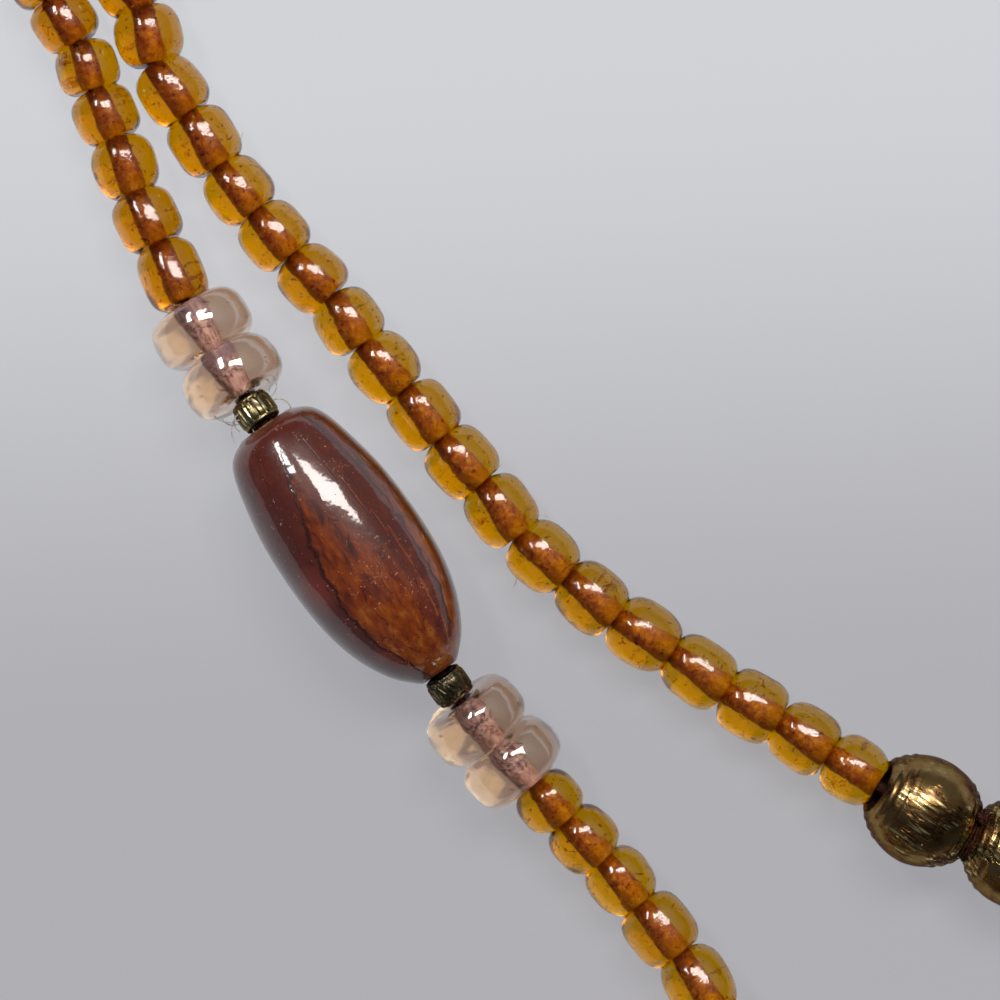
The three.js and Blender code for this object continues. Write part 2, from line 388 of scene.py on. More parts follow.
def makeFloor():
    middle = toFrame((0, 0, 0))
    bpy.ops.object.select_all(action="DESELECT")
    bpy.ops.mesh.primitive_plane_add(size=floor["size"], location=(middle.x, middle.y, -0.02 * mm))
    obj = bpy.context.active_object
    obj.name = "floor"
    bpy.ops.object.transform_apply(location=True, rotation=False, scale=False)
    material, add, place = newMaterial("matt paper, painted glow")   # no gloss at all, a soft even light
    # the picture is 77 mm across: the painted glow brightens up it, painted light towards the top and right
    across = add("VectorMath", {"operation": "DOT_PRODUCT", 1: (-1.0, 20.0, 0)}, place)
    share = add("MapRange", {"interpolation_type": "SMOOTHSTEP", "From Min": 0.28, "From Max": 1.32},
                across)
    glow = add("Mix", {6: floor["glowDim"], 7: floor["glowBright"]}, share)
    grain = add("TexNoise", {"Scale": 4000, "Detail": 2}, place)
    bump = add("Bump", {"Strength": 0.05, "Distance": 0.02 * mm}, {"Height": grain})
    surface = add("BsdfPrincipled",
                  {"Base Color": floor["paper"], "Roughness": 0.9, "Specular IOR Level": 0.1,
                   "Emission Strength": floor["glow"]}, {"Emission Color": glow, "Normal": bump})
    add("OutputMaterial", None, {"Surface": surface})
    useMaterials(obj, material)


makeFloor()

amber = {
    "holeRadius": 0.62,
    # the hole's wall from the far end back to the first: share of the radius, share of the half length
    "holeRings": [(1.30, 0.8), (1.12, 0.3), (1.0, -0.2), (0.94, -0.6)],
    "faceRadius": 1.70,    # the nested end faces
    "bulge": 0.35,
    "fineSteps": 28,
    "plainSteps": 16,
    "fineRings": 13,
    "plainRings": 8,
    "lump": 0.16,
    "lumpSize": 2.6,
    "threadRadius": 0.40,
    "gap": 0.10,    # glass to glass
    "seat": 0.45,   # how far the first front bead reaches into the brass bead's mouth
    "threadInset": 0.08,    # share of the end beads that the thread stays back
    # three mould shapes: roundness of the section, and how much one end is the bigger
    "shapes": [(2.9, 0.03), (2.6, -0.04), (3.2, 0.0)],
    "looks": [(5.0, 5.3), (0.2, 0.7), (-5, 5)],    # widths, tones and turns of the uncharted beads
}

# Beads in the picture: place in mm from its middle, width, tone (0 pale yellow to 1 brown), turn in degrees
topBeads = [
    (-35.4, 40.2, 5.0, 0.9, 0), (-33.5, 36.8, 5.0, 1.0, 4), (-31.5, 33.3, 4.9, 0.8, -6),
    (-30.5, 29.7, 5.0, 0.9, 5), (-28.8, 25.6, 5.1, 0.8, -2), (-27.1, 21.5, 5.1, 0.9, 3),
    (-25.4, 17.5, 5.0, 0.9, -3),
]
shortBeads = [
    (3.8, -22.8, 5.1, 0.3, -4), (6.3, -26.0, 5.2, 0.3, 5), (9.3, -29.2, 5.1, 0.2, -3),
    (12.4, -32.8, 5.3, 0.4, 2), (15.1, -37.1, 5.2, 0.3, -3),
]
frontBeads = [
    (27.5, -20.8, 5.2, 0.2, 3), (23.3, -18.2, 5.2, 0.3, -4), (19.5, -16.0, 5.3, 0.2, 4),
    (15.3, -13.2, 5.2, 0.2, -2), (11.1, -10.4, 5.3, 0.3, 3), (6.9, -7.5, 5.2, 0.4, -5),
    (3.2, -4.6, 5.3, 0.3, 4), (0.1, -0.8, 5.2, 0.4, -4), (-3.0, 3.0, 5.3, 0.4, 3),
    (-5.8, 6.5, 5.2, 0.5, -3), (-8.9, 10.2, 5.3, 0.4, 2), (-11.8, 13.8, 5.2, 0.5, -5),
    (-14.2, 17.2, 5.2, 0.7, 5), (-17.6, 20.2, 5.3, 0.6, -2), (-20.1, 23.8, 5.2, 0.6, 4),
    (-22.7, 27.5, 5.3, 0.7, -3), (-25.4, 31.5, 5.2, 0.8, 5), (-27.4, 35.5, 5.3, 0.8, -3),
]
crossingBeads = [(-29.1, 39.4, 5.2, 0.8, 2), (-30.6, 43.9, 5.2, 0.8, -2)]


# A rounded barrel section: one end bulges and the other is dished, so that neighbours nest
def amberRings(shape, count):
    roundness, lean = shape
    face = amber["faceRadius"] / radii["amber"]
    start = math.asin(face ** (roundness / 2))
    faceAlong = math.cos(start) ** (2 / roundness)
    reach = lengths["amber"] / 2 / faceAlong
    outside = []
    for i in range(count):
        angle = start + (math.pi - 2 * start) * i / (count - 1)
        x = -math.copysign(abs(math.cos(angle)) ** (2 / roundness), math.cos(angle))
        r = radii["amber"] * math.sin(angle) ** (2 / roundness) * (1 + lean * x)
        outside.append((r, x * reach))
    half = lengths["amber"] / 2
    near, far = [], []
    for share in (0.0, 0.3, 0.65):
        r = amber["holeRadius"] + share * (amber["faceRadius"] - amber["holeRadius"])
        bulge = amber["bulge"] * (1 - (r / amber["faceRadius"]) ** 2)
        near.append((r, -half - bulge))
        far.append((max(r, amber["holeRadius"] * 1.35), half - bulge))
    hole = [(share * amber["holeRadius"], along * half) for share, along in amber["holeRings"]]
    return near + outside + far[::-1] + hole


def makeAmberGlass():
    # pressed and tumbled amber glass: its honey colour deepens with thickness
    material, add, place = newMaterial("amber glass, fire-polished")
    tone = add("Attribute", {"attribute_name": "beadTone"})
    tint = add("Mix", {6: "#fffce0", 7: "#e4c488"}, tone.outputs["Fac"])
    # redder and darker by the thread at the ends: painted shade where the beads meet
    bead = add("Attribute", {"attribute_name": "beadPlace"})
    beadAxes = add("SeparateXYZ", None, bead.outputs["Vector"])
    fromMiddle = add("Math", {"operation": "ABSOLUTE"}, beadAxes.outputs["Z"])
    wave = add("TexNoise", {"Scale": 700, "Detail": 3}, place)
    ragged = add("Math", {"operation": "MULTIPLY_ADD", 1: 0.5}, {0: wave, 2: fromMiddle})
    flat = add("VectorMath", {"operation": "MULTIPLY", 1: (1, 1, 0)}, bead.outputs["Vector"])
    fromAxis = add("VectorMath", {"operation": "LENGTH"}, flat)
    byThread = add("Math", {"operation": "MULTIPLY_ADD", 1: -0.5}, {0: fromAxis, 2: ragged})
    endShadeMask = add("MapRange", {"From Min": 0.82, "From Max": 1.02, "To Max": 0.95}, byThread)
    # painted shade: the glass ends tinted dark red-brown
    endShaded = add("Mix", {7: "#a05430"}, {0: endShadeMask, 6: tint})
    # specks of clay and bubbles under the skin, 0.1 to 0.3 mm
    speck = add("TexNoise", {"Scale": 2600, "Detail": 3, "Roughness": 0.6}, place)
    speckMask = add("MapRange", {"From Min": 0.62, "From Max": 0.66}, speck)
    specked = add("Mix", {7: "#7a3210"}, {0: speckMask, 6: endShaded})
    # short cracks, the edges of 1.6 mm cells shown only here and there
    cell = add("TexVoronoi", {"feature": "DISTANCE_TO_EDGE", "Scale": 620}, place)
    crack = add("MapRange", {"From Min": 0.03, "From Max": 0.012}, cell)
    there = add("MapRange", {"From Min": 0.61, "From Max": 0.66}, wave)
    crackHere = add("Math", {"operation": "MULTIPLY"}, {0: crack, 1: there})
    colour = add("Mix", {7: "#7c3014"}, {0: crackHere, 6: specked})
    # slow waves of the melted skin, about 1.4 mm, with finer ones that break the highlights
    bump = add("Bump", {"Strength": 0.6, "Distance": 0.15 * mm}, {"Height": wave})
    # a little cloudy under the skin, which softens the hole, but glossy outside
    surface = add("BsdfPrincipled",
                  {"IOR": 1.5, "Transmission Weight": 1.0, "Roughness": 0.12, "Specular IOR Level": 0.3,
                   "Coat Weight": 0.28, "Coat Roughness": 0.03},
                  {"Base Color": colour, "Normal": bump, "Coat Normal": bump})
    inside = add("VolumeAbsorption", {"Color": (0.980, 0.905, 0.0, 1), "Density": 1700})
    add("OutputMaterial", None, {"Surface": surface, "Volume": inside})
    return material


def makeBoreClay(name, grain, patches, deepClayOrSheen, faded):
    # kiln clay and metal oxide left on a bead's hole: patchy, deeper at its first end, thin at the other;
    # in the pale beads the first end is a pale lilac painted reflection
    material, add, place = newMaterial(name)
    cloud = add("TexNoise", {"Scale": grain, "Detail": 4, "Roughness": 0.75}, place)
    patchy = add("ValToRGB", {"stops": patches}, cloud)
    bead = add("Attribute", {"attribute_name": "beadPlace"})
    axes = add("SeparateXYZ", None, bead.outputs["Vector"])
    ragged = add("Math", {"operation": "MULTIPLY_ADD", 1: 0.8}, {0: cloud, 2: axes.outputs["Z"]})
    # the first end: deeper clay in the amber beads, a painted lilac reflection in the pale ones
    first = add("MapRange", {"From Min": 0.15, "From Max": -0.4, "To Max": 0.9}, ragged)
    deepenedOrSheened = add("Mix", {7: deepClayOrSheen}, {0: first, 6: patchy})
    last = add("MapRange", {"From Min": 0.55, "From Max": 1.25, "To Max": 0.8}, ragged)
    colour = add("Mix", {7: faded}, {0: last, 6: deepenedOrSheened})
    # flecks of 0.1 mm
    fleck = add("TexVoronoi", {"Scale": 7000}, place)
    fleckMask = add("MapRange", {"From Min": 0.30, "From Max": 0.18}, fleck)
    bump = add("Bump", {"Strength": 1.0, "Distance": 0.08 * mm}, {"Height": cloud})
    rough = add("MapRange", {"To Min": 0.45, "To Max": 0.12}, fleckMask)
    surface = add("BsdfPrincipled", {"Metallic": 0.15},
                  {"Base Color": colour, "Roughness": rough, "Normal": bump})
    add("OutputMaterial", None, {"Surface": surface})
    return material


def makeSpunThread(name, dark, middle, light):
    # cotton thread: fine fibres across the twist, quite matt
    material, add, place = newMaterial(name)
    fibre = add("TexNoise", {"Scale": 7000, "Detail": 3}, place)
    colour = add("ValToRGB", {"stops": [[0.3, dark], [0.5, middle], [0.75, light]]}, fibre)
    bump = add("Bump", {"Strength": 0.7, "Distance": 0.04 * mm}, {"Height": fibre})
    surface = add("BsdfPrincipled", {"Roughness": 0.85, "Specular IOR Level": 0.2},
                  {"Base Color": colour, "Normal": bump})
    add("OutputMaterial", None, {"Surface": surface})
    return material


amberGlass = makeAmberGlass()
amberClay = makeBoreClay("kiln clay on glass, amber beads", 2500,
                         [[0.32, "#6e3028"], [0.44, "#a25044"], [0.57, "#be7c50"], [0.73, "#e4b494"]],
                         "#8a3c34", "#b4804a")
spunThread = makeSpunThread("cotton thread, spun and waxed", "#1e0d09", "#3a1a12", "#5e3526")
frayedFibre = makeSpunThread("cotton fibre, frayed", "#96928c", "#b4b0aa", "#d4d0ca")


def noteBeadPlace(obj, radius, half):
    places = np.array([v.co for v in obj.data.vertices]) / (radius * mm, radius * mm, half * mm)
    attribute = obj.data.attributes.new("beadPlace", "FLOAT_VECTOR", "POINT")
    attribute.data.foreach_set("vector", places.ravel())


def makeAmberModels(steps, ringCount):
    models = []
    for shape in amber["shapes"]:
        model = turnedBody("amberModel", amberRings(shape, ringCount), steps)
        useMaterials(model, amberGlass, amberClay)
        lineHole(model, amber["holeRadius"] * 1.4)
        noteBeadPlace(model, radii["amber"], lengths["amber"] / 2)
        models.append(model)
    return models


def copyBead(model, placed, wide, long, tone):
    bead = model.copy()
    bead.data = model.data.copy()
    bpy.context.scene.collection.objects.link(bead)
    bead.data.transform(placed @ Matrix.Diagonal((wide, wide, long, 1)))
    attribute = bead.data.attributes.new("beadTone", "FLOAT", "POINT")
    attribute.data.foreach_set("value", [tone] * len(bead.data.vertices))
    return bead


# A round thread through mm points, as a mesh tube
def threadTube(name, points, radius, sides):
    curve = bpy.data.curves.new(name, "CURVE")
    curve.dimensions = "3D"
    curve.bevel_depth = radius * mm
    curve.bevel_resolution = sides // 4
    curve.use_fill_caps = True
    spline = curve.splines.new("POLY")
    spline.points.add(len(points) - 1)
    for place, point in zip(spline.points, points):
        place.co = (*toFrame(point), 1)
    obj = bpy.data.objects.new(name, curve)
    bpy.context.scene.collection.objects.link(obj)
    pick(obj)
    bpy.ops.object.convert(target="MESH")
    bpy.ops.object.shade_smooth()
    return obj


def settled(distance):
    return max(0.0, 1 - distance / route["settleLength"]) ** 2


fineModels = makeAmberModels(amber["fineSteps"], amber["fineRings"])
plainModels = makeAmberModels(amber["plainSteps"], amber["plainRings"])


# One row a bead: its two ends, width, tone and turn, and whether it is a fine one
def evenRows(first, last, heightAt):
    count = round((last - first) / lengths["amber"])
    marks = [first + (last - first) * i / max(count, 1) for i in range(count + 1)]
    points = [planPoint(m, heightAt(m)) for m in marks]
    rows = []
    for near, far in zip(points, points[1:]):
        look = [random.uniform(*limits) for limits in amber["looks"]]
        rows.append((near, far, *look, False))
    return rows


def chartedRows(chart, first, last, marks, heightAt):
    middles = [Vector((*bead[:2], heightAt(m))) for bead, m in zip(chart, marks)]
    between = [planPoint(first, heightAt(first))]
    between += [(a + b) / 2 for a, b in zip(middles, middles[1:])]
    between.append(planPoint(last, heightAt(last)))
    return [(near, far, *bead[2:], True) for near, far, bead in zip(between, between[1:], chart)]


# Beads from the picture keep their own places; the rest of a string has equal beads along the route
def makeAmberString(name, node, start, end, startHeight, endHeight, charts, heading=1):
    def heightAt(distance):
        rise = (startHeight - radii["amber"]) * settled(distance - start)
        rise += (endHeight - radii["amber"]) * settled(end - distance)
        return radii["amber"] + rise

    rows = []
    reached = start
    for chart in charts:
        marks = [distanceNear(*bead[:2]) for bead in chart]
        marks = [m + routeLength if m < start - lengths["amber"] else m for m in marks]
        first = marks[0] - (marks[1] - marks[0]) / 2
        last = marks[-1] + (marks[-1] - marks[-2]) / 2
        first = reached if first - reached < lengths["amber"] / 2 else first
        last = end if end - last < lengths["amber"] / 2 else last
        rows += evenRows(reached, first, heightAt) + chartedRows(chart, first, last, marks, heightAt)
        reached = last
    rows += evenRows(reached, end, heightAt)
    beads = []
    for near, far, wide, tone, turn, fine in rows:
        radius = min(wide / 2, radii["amber"])
        middle = (near + far) / 2
        middle.z += radius - radii["amber"]
        swing = Matrix.Rotation(math.radians(turn), 3, "Z")
        placed = facing(middle, swing @ (far - near) * heading, random.uniform(0, math.tau))
        model = random.choice(fineModels if fine else plainModels)
        long = ((far - near).length - amber["gap"]) / lengths["amber"]
        beads.append(copyBead(model, placed, radius / radii["amber"], long, tone))
    inset = amber["threadInset"]
    line = [rows[0][0] + (rows[0][1] - rows[0][0]) * inset]
    for near, far, *rest in rows:
        line += [(near + far) / 2, far]
    line[-1] = line[-1] + (line[-2] - line[-1]) * inset
    thread = threadTube(name + "Thread", line, amber["threadRadius"], 8)
    useMaterials(thread, spunThread)
    obj = joined(*beads, thread)
    obj.name = obj.data.name = name
    makeUneven(obj, amber["lump"], amber["lumpSize"])
    print(name, len(rows), "beads")
    finishPiece(obj, "amber_glass", node)


# The front and top strings meet between two charted beads, by the crossing
ease = route["gap"] / 2
lastFront, firstTop = frontBeads[-1], crossingBeads[0]
split = (distanceNear(*lastFront[:2]) + distanceNear(*firstTop[:2])) / 2
makeAmberString("amberStringTop", "amber_string_top", split, routeLength + stationStart - ease,
                radii["amber"], radii["rondelle"], [crossingBeads, topBeads])
makeAmberString("amberStringShort", "amber_string_short", stationEnd + ease, backStart - ease,
                radii["rondelle"], radii["brass"], [shortBeads])
makeAmberString("amberStringBack", "amber_string_back", backEnd + ease, frontStart - ease,
                radii["brass"], radii["brass"], [])
makeAmberString("amberStringFront", "amber_string_front", frontEnd + ease - amber["seat"], split,
                radii["brass"], radii["amber"], [frontBeads], heading=-1)
for model in fineModels + plainModels:
    bpy.data.objects.remove(model)


rondelle = {
    "holeRadius": 0.70,
    "holeRings": [(0.9, 0.6), (1.0, 0.2), (1.15, -0.3), (1.3, -0.7)],
    "steps": 40,
    # half section: share of the radius, share of the length
    "section": [(0.45, 0.0), (0.70, 0.015), (0.865, 0.09), (0.965, 0.25), (1.0, 0.5)],
    "reach": 0.10,    # the faces nearly touch
    "lump": 0.30,
    "lumpSize": 3.2,
}


def makePaleGlass():
    # hand-wound glass with a fumed lustre: clear, pinkish, slightly milky, with bright reflections
    material, add, place = newMaterial("pale glass, fumed lustre")
    cloud = add("TexNoise", {"Scale": 420, "Detail": 3}, place)
    tint = add("ValToRGB", {"stops": [[0.35, "#f4e2e4"], [0.5, "#f8eae4"], [0.68, "#f6dcd0"]]}, cloud)
    # golden at the faces
    bead = add("Attribute", {"attribute_name": "beadPlace"})
    beadAxes = add("SeparateXYZ", None, bead.outputs["Vector"])
    fromMiddle = add("Math", {"operation": "ABSOLUTE"}, beadAxes.outputs["Z"])
    faceMask = add("MapRange", {"From Min": 0.80, "From Max": 1.0, "To Max": 0.7}, fromMiddle)
    golden = add("Mix", {7: "#f2dccc"}, {0: faceMask, 6: tint})
    # fine scratches, all roughly one way, 0.1 mm wide, shown only here and there
    scored = add("Mapping", {"Scale": (450, 3600, 1800), "Rotation": (0, 0, 0.9)}, place)
    marks = add("TexNoise", {"Scale": 1, "Detail": 1}, scored)
    line = add("MapRange", {"From Min": 0.66, "From Max": 0.70}, marks)
    there = add("MapRange", {"From Min": 0.50, "From Max": 0.56}, cloud)
    lineHere = add("Math", {"operation": "MULTIPLY"}, {0: line, 1: there})
    colour = add("Mix", {7: "#a08468"}, {0: lineHere, 6: golden})
    bump = add("Bump", {"Strength": 0.4, "Distance": 0.14 * mm}, {"Height": cloud})
    # milky under the skin, so the hole looks soft, and the lustre reflects like a thin metal film
    surface = add("BsdfPrincipled",
                  {"IOR": 1.5, "Transmission Weight": 1.0, "Roughness": 0.15, "Coat Weight": 1.0,
                   "Coat IOR": 1.9, "Coat Roughness": 0.03},
                  {"Base Color": colour, "Normal": bump, "Coat Normal": bump})
    inside = add("VolumeAbsorption", {"Color": (0.76, 0.44, 0.05, 1), "Density": 106})
    add("OutputMaterial", None, {"Surface": surface, "Volume": inside})
    return material


paleGlass = makePaleGlass()
# the lilac first end of these cores is a painted reflection, the sheen of the hole's wall
paleClay = makeBoreClay("kiln clay on glass, pale beads", 4200,
                        [[0.40, "#5c3030"], [0.47, "#b48890"], [0.56, "#e0bcc8"], [0.68, "#fff2e0"]],
                        "#d6bce8", "#d0a8a4")


def makeRondelle(name):
    half = lengths["rondelle"] / 2 + rondelle["reach"]
    section = smoothed(rondelle["section"], 4)
    side = [(r * radii["rondelle"], (s - 0.5) * 2 * half) for r, s in section]
    other = [(r, -s) for r, s in reversed(side[:-1])]
    hole = rondelle["holeRadius"]
    rings = [(hole * 1.38, -half + 0.25), (hole * 1.5, -half + 0.08)] + side + other
    rings += [(hole * 1.25, half - 0.08), (hole, half - 0.25)]
    rings += [(share * hole, along * half) for share, along in rondelle["holeRings"]]
    obj = turnedBody(name + "Glass", rings, rondelle["steps"])
    useMaterials(obj, paleGlass, paleClay)
    lineHole(obj, hole * 1.4)
    noteBeadPlace(obj, radii["rondelle"], half)
    middle, forward = placeOf[name]
    obj.data.transform(facing(middle, forward, random.uniform(0, math.tau)))
    makeUneven(obj, rondelle["lump"], rondelle["lumpSize"])
    finishPiece(obj, "pale_glass", name)


for number in (1, 2, 3, 4):
    makeRondelle("rondelle_%d" % number)


barrel = {
    "holeRadius": 0.8,
    "steps": 96,
    # along from the blunt end, and radius, as shares
    "section": [
        (0.0, 0.42), (0.03, 0.63), (0.08, 0.76), (0.17, 0.86), (0.3, 0.96), (0.42, 1.0), (0.57, 1.0),
        (0.7, 0.945), (0.82, 0.81), (0.92, 0.6), (0.98, 0.38), (1.0, 0.28),
    ],
    # where the lustre is worn through to rust glass: mm from the middle, and the angles from the top at
    # which the worn place starts and ends, minus to the lower left
    "wornPlace": [
        (-9.0, 0, -3), (-6.8, 0, -9), (-3.2, 4, -20), (-0.9, 12, -26), (1.7, 24, -31),
        (4.4, 24, -34), (7.4, 26, -32), (9.4, 30, -26), (10.6, 50, -22), (11.5, 60, -20),
    ],
    # a worn line along the upper right side
    "wornLine": [
        (-10.5, 54, 46), (-6.0, 62, 50), (0.0, 66, 51), (5.0, 68, 50), (9.0, 70, 48), (11.0, 66, 45),
    ],
    # both again on the back, turned by so many degrees
    "wornCharts": [("wornPlace", 0), ("wornLine", 0), ("wornPlace", 168), ("wornLine", 150)],
    "endSlope": 12,    # degrees for each mm past a chart's end
    "redPatch": (-4.0, 3.9, 1.1),
}


# How far inside a worn place each vertex lies, in degrees
def noteWear(obj):
    margins = []
    for vertex in obj.data.vertices:
        x, y, z = vertex.co / mm
        angle = math.degrees(math.atan2(x, y))
        best = (-180.0, -180.0, 0.0)
        for chart, turn in barrel["wornCharts"]:
            rows = barrel[chart]
            side = (angle - turn + 180) % 360 - 180
            upper = np.interp(z, [r[0] for r in rows], [r[1] for r in rows])
            lower = np.interp(z, [r[0] for r in rows], [r[2] for r in rows])
            past = max(rows[0][0] - z, z - rows[-1][0], 0) * barrel["endSlope"]
            best = max(best, (side - lower - past, upper - side - past, 0.0), key=lambda m: min(m[:2]))
        margins += best
    attribute = obj.data.attributes.new("wear", "FLOAT_VECTOR", "POINT")
    attribute.data.foreach_set("vector", margins)


def makeLustreGlaze():
    # dark glass under a fired metallic lustre: maroon and glossy, and rust glass where the lustre is worn
    material, add, place = newMaterial("lustre glaze, fired")
    middle, forward = placeOf["barrel_bead"]
    turn = facing(middle, forward)
    local = add("Mapping",
                {"vector_type": "TEXTURE", "Location": turn.translation, "Rotation": turn.to_euler(),
                 "Scale": (mm, mm, mm)}, place)
    axes = add("SeparateXYZ", None, local)
    # the glass was wound, so its streaks run along the bead, 0.3 mm wide and 2 mm long
    drawn = add("Mapping", {"Scale": (1.0, 1.0, 0.36), "Rotation": (0.25, 0.10, 0)}, local)
    streaks = add("TexNoise", {"Scale": 1.5, "Detail": 5, "Roughness": 0.55, "Distortion": 0.3}, drawn)
    fromBlunt = add("MapRange", {"From Min": -8, "From Max": 11, "To Min": -0.14, "To Max": 0.16},
                    axes.outputs["Z"])
    warmer = add("Math", {"operation": "ADD"}, {0: streaks, 1: fromBlunt})
    rust = add("ValToRGB", {"stops": [[0.30, "#3a1206"], [0.44, "#60240c"], [0.55, "#78320c"],
                                      [0.66, "#86400f"], [0.80, "#9e5c20"]]}, warmer)
    # the lustre itself clouds slowly, 4 mm, from red brown at the blunt end to mauve at the other
    cloud = add("TexNoise", {"Scale": 0.26, "Detail": 5, "Roughness": 0.62}, local)
    greyer = add("MapRange", {"From Min": -11, "From Max": 11, "To Min": -0.10, "To Max": 0.12},
                 axes.outputs["Z"])
    shade = add("Math", {"operation": "ADD"}, {0: cloud, 1: greyer})
    lustre = add("ValToRGB", {"stops": [[0.32, "#5c2a1e"], [0.45, "#521d15"], [0.56, "#4b211d"],
                                        [0.68, "#6a2d1d"]]}, shade)
    # a redder patch at the lower left, 3 mm across
    fromPatch = add("VectorMath", {"operation": "DISTANCE", 1: barrel["redPatch"]}, local)
    patchMask = add("MapRange", {"From Min": 2.4, "From Max": 0.6, "To Max": 0.45}, fromPatch)
    blushed = add("Mix", {7: "#903c30"}, {0: patchMask, 6: lustre})
    # the worn edge wanders by a few degrees; it is crisp at the lower left and fades out at the upper right
    wear = add("Attribute", {"attribute_name": "wear"})
    sides = add("SeparateXYZ", None, wear.outputs["Vector"])
    wander = add("TexNoise", {"Scale": 0.8, "Detail": 4}, local)
    wobble = add("MapRange", {"To Min": -7, "To Max": 7}, wander)
    lower = add("Math", {"operation": "ADD"}, {0: sides.outputs["X"], 1: wobble})
    upper = add("Math", {"operation": "ADD"}, {0: sides.outputs["Y"], 1: wobble})
    crisp = add("MapRange", {"From Min": -0.6, "From Max": 0.8}, lower)
    faded = add("MapRange", {"From Min": -3.0, "From Max": 8.0}, upper)
    worn = add("Math", {"operation": "MULTIPLY"}, {0: crisp, 1: faded})
    skin = add("Mix", None, {0: worn, 6: blushed, 7: rust})
    # a dark line where the lustre ends, wider in places
    edge = add("Math", {"operation": "ABSOLUTE"}, lower)
    nearEdge = add("MapRange", {"From Min": 2.6, "From Max": 0.8, "To Max": 0.9}, edge)
    notPast = add("MapRange", {"From Min": -1, "From Max": 1}, upper)
    edgeMask = add("Math", {"operation": "MULTIPLY"}, {0: nearEdge, 1: notPast})
    edged = add("Mix", {7: "#2a0806"}, {0: edgeMask, 6: skin})
    # pits and pale flecks of 0.15 mm, in groups
    pit = add("TexNoise", {"Scale": 4.5, "Detail": 3}, local)
    grouped = add("Math", {"operation": "MULTIPLY_ADD", 1: 0.35}, {0: cloud, 2: pit})
    pitMask = add("MapRange", {"From Min": 0.855, "From Max": 0.90}, grouped)
    colour = add("Mix", {7: "#a0604a"}, {0: pitMask, 6: edged})
    # thin dark lines that run along the bead, the contours of a long soft noise
    along = add("Mapping", {"Scale": (0.55, 0.55, 0.10), "Rotation": (0.10, 0.06, 0)}, local)
    contour = add("TexNoise", {"Scale": 1, "Detail": 3}, along)
    fromLine = add("Math", {"operation": "SUBTRACT", 1: 0.53}, contour)
    offLine = add("Math", {"operation": "ABSOLUTE"}, fromLine)
    lineMask = add("MapRange", {"From Min": 0.006, "From Max": 0.002, "To Max": 0.7}, offLine)
    painted = add("Mix", {7: "#2c0c08"}, {0: lineMask, 6: colour})
    wave = add("TexNoise", {"Scale": 0.5, "Detail": 3}, local)
    waveBump = add("Bump", {"Strength": 0.25, "Distance": 0.20 * mm}, {"Height": wave})
    stepBump = add("Bump", {"Strength": 0.4, "Distance": 0.04 * mm, "invert": True},
                   {"Height": worn, "Normal": waveBump})
    pitBump = add("Bump", {"Strength": 0.5, "Distance": 0.03 * mm, "invert": True},
                  {"Height": pitMask, "Normal": stepBump})
    surface = add("BsdfPrincipled",
                  {"Roughness": 0.35, "Specular IOR Level": 0.3, "Coat Weight": 1.0, "Coat IOR": 1.62,
                   "Coat Roughness": 0.08},
                  {"Base Color": painted, "Normal": pitBump, "Coat Normal": pitBump})
    add("OutputMaterial", None, {"Surface": surface})
    return material


lustreGlaze = makeLustreGlaze()


def makeBarrel():
    length = lengths["barrel"]
    section = smoothed(barrel["section"], 4)
    outside = [(r * radii["barrel"], (s - 0.5) * length) for s, r in section]
    hole = barrel["holeRadius"]
    rings = [(hole, -length / 2 + 0.4), (hole * 1.2, -length / 2 + 0.1)] + outside
    rings += [(hole * 1.2, length / 2 - 0.1), (hole, length / 2 - 0.4)]
    obj = turnedBody("barrelBead", rings, barrel["steps"])
    useMaterials(obj, lustreGlaze)
    noteWear(obj)
    middle, forward = placeOf["barrel_bead"]
    obj.data.transform(facing(middle, forward))
    finishPiece(obj, "lustre_glaze", "barrel_bead")


makeBarrel()

brass = {
    "mouthRadius": 1.85,
    "mouthDepth": 1.5,
    "boreRadius": 0.8,
    "steps": 64,
    "endRadius": 2.25,
    "flankRings": 25,
    "ridgedRings": 12,
    "ridges": 3,    # turned ridges round each mouth
    "ridgeHeight": 0.07,
    "dent": 0.20,
    "dentSize": 3.2,
    "tilt": 9,    # degrees: the bead by the amber string lifts its mouth a little
}


